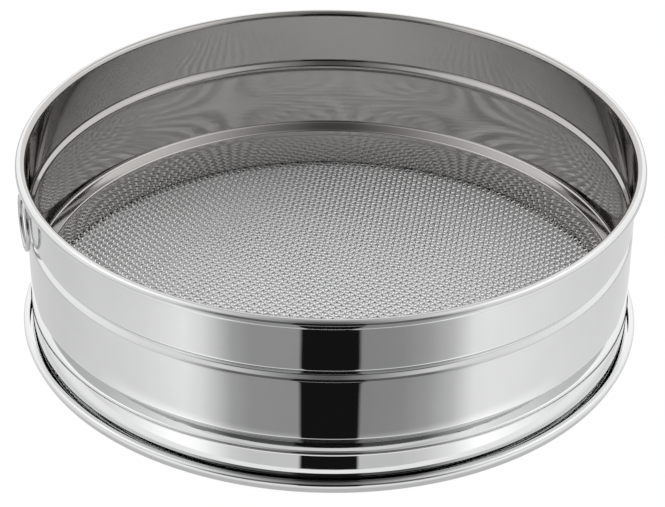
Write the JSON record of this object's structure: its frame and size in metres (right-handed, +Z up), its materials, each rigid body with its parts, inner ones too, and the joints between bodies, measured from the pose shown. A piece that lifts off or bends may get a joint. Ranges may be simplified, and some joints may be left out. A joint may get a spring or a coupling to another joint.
{
  "type": "drum sieve",
  "caption": "Round polished steel drum sieve with rolled rim, two stiffening beads, flat wire mesh bottom, foot ring and a hanging ring on a folded strap.",
  "frame": {"origin": "centre of the circle that the foot ring stands on", "axes": "+Z up along the drum's axis, +X to the right and +Y away from the viewer of the picture; the hanging ring is near -X, turned 14.5 degrees towards -Y"},
  "size_m": [0.3, 0.3, 0.0922],
  "materials": {
    "polished_steel": "mirror polished",
    "wire_steel": "bright drawn wire"
  },
  "bodies": {
    "sieve": {"drum_wall": "polished_steel", "mesh": "wire_steel", "foot_ring": "polished_steel", "ring_strap": "polished_steel"},
    "ring": {"hanging_ring": "polished_steel"}
  },
  "joints": [
    {"name": "ring_swing", "type": "hinge", "parent": "sieve", "child": "ring", "pos_m": [-0.14338, -0.03708, 0.0843], "axis": [-0.2504, 0.9681, 0], "range_deg": [-2.5, 135]}
  ]
}
